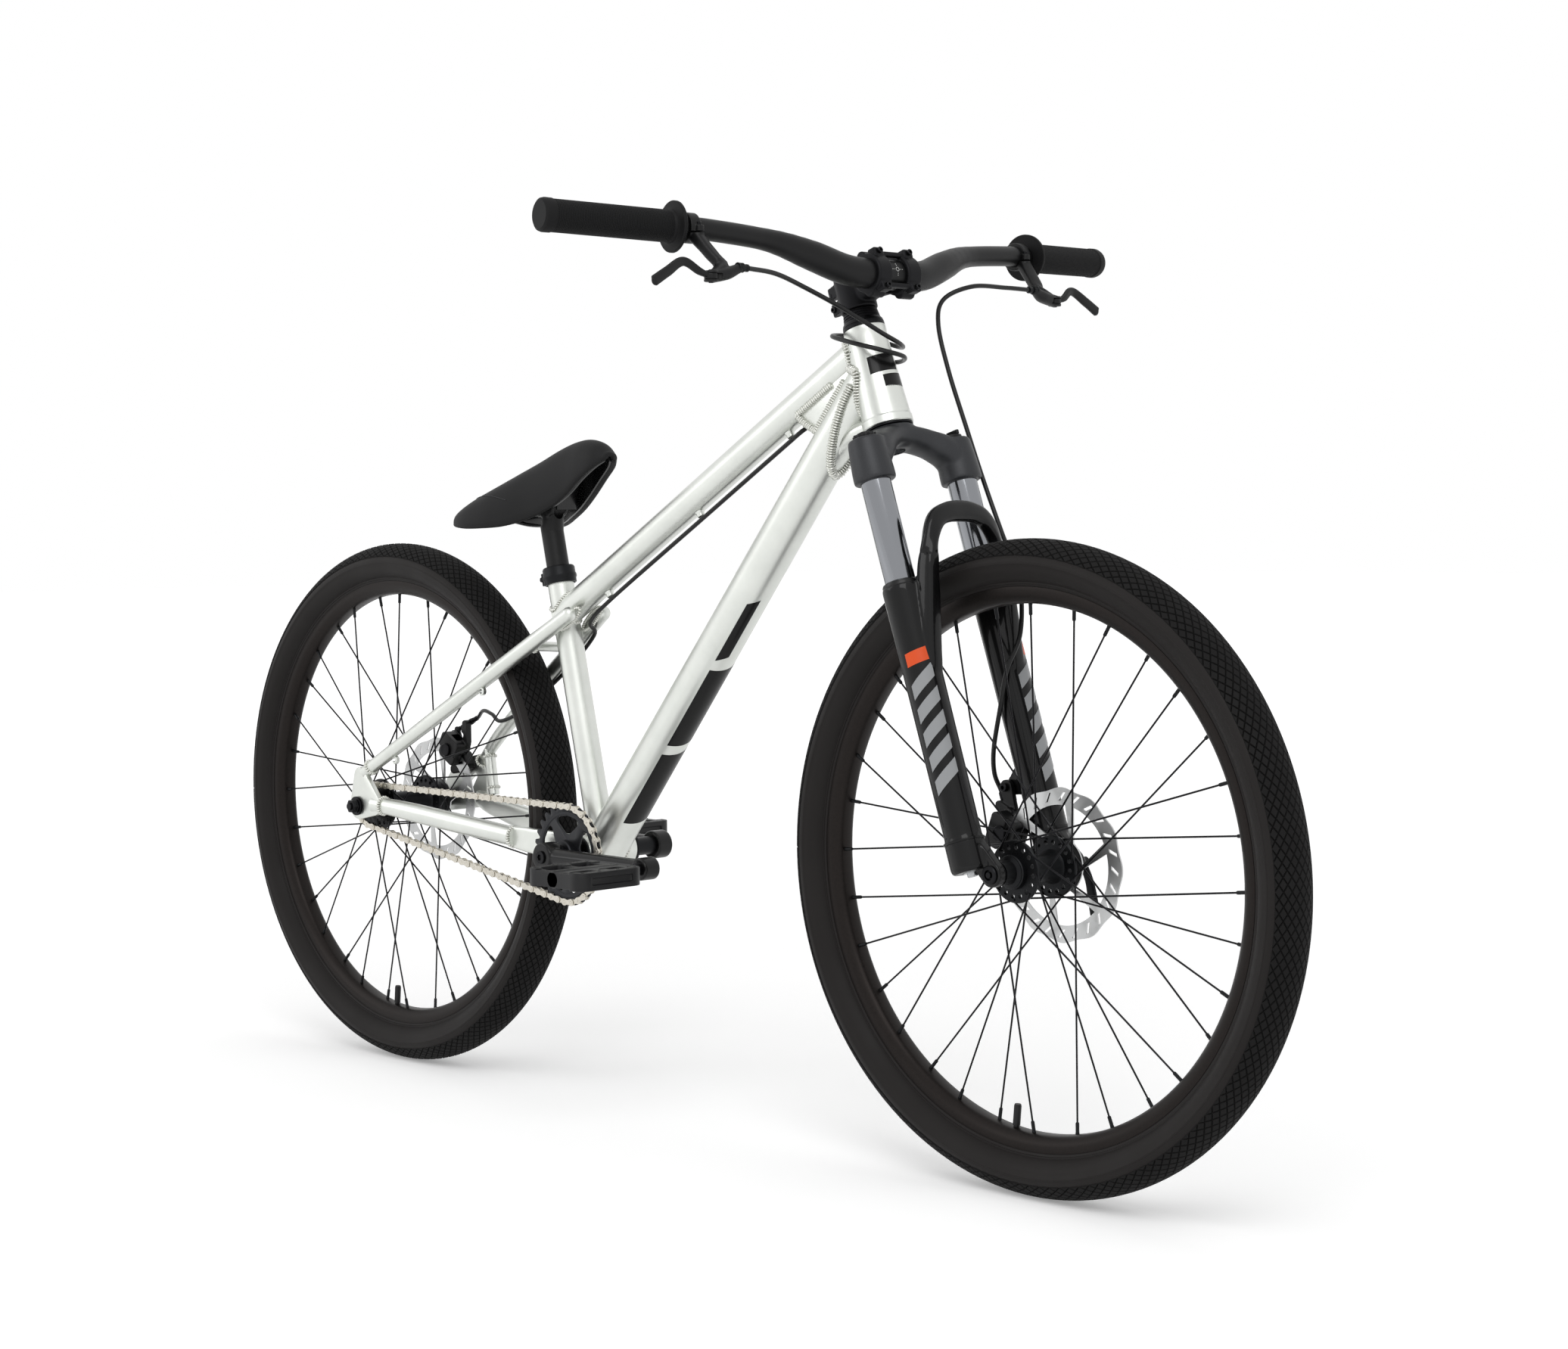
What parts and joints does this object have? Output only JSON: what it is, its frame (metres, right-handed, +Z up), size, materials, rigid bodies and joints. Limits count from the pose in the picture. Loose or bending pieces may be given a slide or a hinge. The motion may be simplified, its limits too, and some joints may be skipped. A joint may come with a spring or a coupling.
{
  "type": "dirt jump bicycle",
  "caption": "Hardtail dirt jump bicycle with a straight-tube frame, short-travel suspension fork, single-speed chain drive and cable disc brakes.",
  "frame": {"origin": "on the ground, midway between the two axles", "axes": "+X to the front wheel, +Y to the rider's left, +Z up"},
  "size_m": [1.75, 0.83, 1.0081],
  "materials": {
    "raw_aluminium": "brushed",
    "black_anodised": "satin",
    "saddle_cover": "matt",
    "plastic": "matt",
    "dark_grey": "satin",
    "dark_chrome": "mirror",
    "matt_black": "matt",
    "grip_rubber": "matt",
    "gloss_black": "gloss",
    "tyre_rubber": "matt",
    "steel": "brushed",
    "nickel": "satin"
  },
  "bodies": {
    "frame": {"head_tube": "raw_aluminium", "top_tube": "raw_aluminium", "down_tube": "raw_aluminium", "seat_tube": "raw_aluminium", "bb_shell": "raw_aluminium", "seatstay_right": "raw_aluminium", "seatstay_left": "raw_aluminium", "chainstay_right": "raw_aluminium", "chainstay_left": "raw_aluminium", "seat_clamp": "black_anodised", "headset_lower_cup": "black_anodised", "headset_upper_cup": "black_anodised", "chain": "nickel", "rear_axle": "black_anodised", "rear_caliper": "black_anodised", "rear_brake_cable": "plastic"},
    "seatpost": {"seatpost": "black_anodised"},
    "saddle": {"saddle_cover": "saddle_cover", "saddle_base": "plastic"},
    "steering": {"fork_crown": "dark_grey", "stanchion_right": "dark_chrome", "stanchion_left": "dark_chrome", "headset_spacer": "black_anodised", "stem": "matt_black", "stem_faceplate": "matt_black", "steerer_top_cap": "matt_black", "handlebar": "matt_black", "grip_left": "grip_rubber", "grip_right": "grip_rubber", "brake_perch_left": "matt_black", "brake_perch_right": "matt_black", "front_brake_cable": "plastic", "rear_brake_cable_loop": "plastic"},
    "fork_lowers": {"fork_lowers": "gloss_black", "front_axle": "black_anodised", "front_caliper": "black_anodised"},
    "front_axle_lever": {"front_axle_lever": "black_anodised"},
    "front_caliper_arm": {"front_caliper_arm": "black_anodised"},
    "rear_caliper_arm": {"rear_caliper_arm": "black_anodised"},
    "front_wheel": {"front_tyre": "tyre_rubber", "front_rim": "black_anodised", "front_hub": "black_anodised", "front_rotor": "steel"},
    "rear_wheel": {"rear_tyre": "tyre_rubber", "rear_rim": "black_anodised", "rear_hub": "black_anodised", "rear_rotor": "steel"},
    "rear_cog": {"rear_cog": "black_anodised"},
    "cranks": {"chainring": "dark_grey", "crank_right": "gloss_black", "crank_left": "gloss_black"},
    "pedal_right": {"pedal_right": "plastic"},
    "pedal_left": {"pedal_left": "plastic"},
    "brake_lever_right": {"brake_lever_right": "matt_black"},
    "brake_lever_left": {"brake_lever_left": "matt_black"},
    "preload_knob": {"preload_knob": "matt_black"},
    "lockout_knob": {"lockout_knob": "matt_black"}
  },
  "joints": [
    {"name": "steer", "type": "hinge", "parent": "frame", "child": "steering", "pos_m": [0.34208, 0, 0.78326], "axis": [-0.314, 0, 0.9494], "range_deg": [-60, 60], "deforming": ["rear_brake_cable_loop"]},
    {"name": "fork_travel", "type": "slide", "parent": "steering", "child": "fork_lowers", "axis": [-0.314, 0, 0.9494], "range_m": [0, 0.1], "stiffness_N_per_m": 7000, "springref_m": -0.02, "deforming": ["front_brake_cable"]},
    {"name": "front_wheel_spin", "type": "hinge", "parent": "fork_lowers", "child": "front_wheel", "pos_m": [0.541, 0, 0.334], "axis": [0, 1, 0], "continuous": true},
    {"name": "rear_wheel_spin", "type": "hinge", "parent": "frame", "child": "rear_wheel", "pos_m": [-0.541, 0, 0.334], "axis": [0, 1, 0], "continuous": true},
    {"name": "crank_spin", "type": "hinge", "parent": "frame", "child": "cranks", "pos_m": [-0.14036, 0, 0.301], "axis": [0, 1, 0], "continuous": true, "deforming": ["chain"]},
    {"name": "cog_spin", "type": "hinge", "parent": "frame", "child": "rear_cog", "pos_m": [-0.541, 0, 0.334], "axis": [0, 1, 0], "continuous": true, "deforming": ["chain"]},
    {"name": "pedal_right_spin", "type": "hinge", "parent": "cranks", "child": "pedal_right", "pos_m": [0.03464, -0.17, 0.301], "axis": [0, 1, 0], "continuous": true},
    {"name": "pedal_left_spin", "type": "hinge", "parent": "cranks", "child": "pedal_left", "pos_m": [-0.31536, 0.17, 0.301], "axis": [0, 1, 0], "continuous": true},
    {"name": "brake_lever_right", "type": "hinge", "parent": "steering", "child": "brake_lever_right", "pos_m": [0.35, -0.257, 0.93], "axis": [0, 0, -1], "range_deg": [0, 18], "stiffness_Nm_per_rad": 0.6, "springref_deg": -17.19},
    {"name": "brake_lever_left", "type": "hinge", "parent": "steering", "child": "brake_lever_left", "pos_m": [0.35, 0.257, 0.93], "axis": [0, 0, 1], "range_deg": [0, 18], "stiffness_Nm_per_rad": 0.6, "springref_deg": -17.19},
    {"name": "front_caliper_arm_turn", "type": "hinge", "parent": "fork_lowers", "child": "front_caliper_arm", "pos_m": [0.46946, 0.0598, 0.36247], "axis": [0, 1, 0], "range_deg": [0, 18]},
    {"name": "rear_caliper_arm_turn", "type": "hinge", "parent": "frame", "child": "rear_caliper_arm", "pos_m": [-0.5025, 0.0618, 0.40068], "axis": [0, 1, 0], "range_deg": [0, 18]},
    {"name": "front_axle_lever_turn", "type": "hinge", "parent": "fork_lowers", "child": "front_axle_lever", "pos_m": [0.541, 0.0749, 0.334], "axis": [0.9494, 0, 0.314], "range_deg": [0, 150]},
    {"name": "seatpost_slide", "type": "slide", "parent": "frame", "child": "seatpost", "axis": [-0.225, 0, 0.9744], "range_m": [-0.03, 0.08]},
    {"name": "saddle_tilt", "type": "hinge", "parent": "seatpost", "child": "saddle", "pos_m": [-0.227, 0, 0.713], "axis": [0, 1, 0], "range_deg": [-10, 10]},
    {"name": "preload_knob_turn", "type": "hinge", "parent": "steering", "child": "preload_knob", "pos_m": [0.36458, -0.065, 0.7907], "axis": [-0.314, 0, 0.9494], "range_deg": [0, 300]},
    {"name": "lockout_knob_turn", "type": "hinge", "parent": "steering", "child": "lockout_knob", "pos_m": [0.36458, 0.065, 0.7907], "axis": [-0.314, 0, 0.9494], "range_deg": [0, 90]}
  ],
  "couplings": [
    {"joint": "cog_spin", "follows": "crank_spin", "ratio": 2.1538},
    {"joint": "front_caliper_arm_turn", "follows": "brake_lever_left", "ratio": 1},
    {"joint": "rear_caliper_arm_turn", "follows": "brake_lever_right", "ratio": 1}
  ]
}
